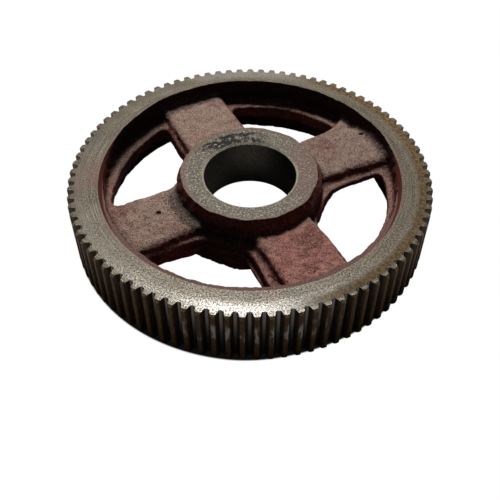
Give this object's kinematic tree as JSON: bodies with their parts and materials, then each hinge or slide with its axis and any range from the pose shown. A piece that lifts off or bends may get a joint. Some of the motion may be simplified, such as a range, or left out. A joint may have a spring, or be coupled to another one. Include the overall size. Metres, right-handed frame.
{
  "type": "spur gear",
  "caption": "Large cast iron spur gear with straight involute teeth, flat arms, a webbed flange round each window and a plain chamfered bore, for turning with a shaft.",
  "frame": {"origin": "middle of the bore, half way across the face width of the teeth", "axes": "+Z along the bore axis, out of the face where the hub is flush with the rim; +X along one arm, +Y along the next"},
  "size_m": [0.3662, 0.3662, 0.064],
  "materials": {
    "bare_iron": "machined bare grey iron, lightly rusted near the tooth roots",
    "primed_iron": "sand-cast surface under dull maroon primer, dusty on its upper faces"
  },
  "bodies": {
    "root": {"toothed_rim": "bare_iron", "hub": "primed_iron", "arm_1": "primed_iron", "arm_2": "primed_iron", "arm_3": "primed_iron", "arm_4": "primed_iron", "web_flange_1": "primed_iron", "web_flange_2": "primed_iron", "web_flange_3": "primed_iron", "web_flange_4": "primed_iron"}
  },
  "joints": []
}
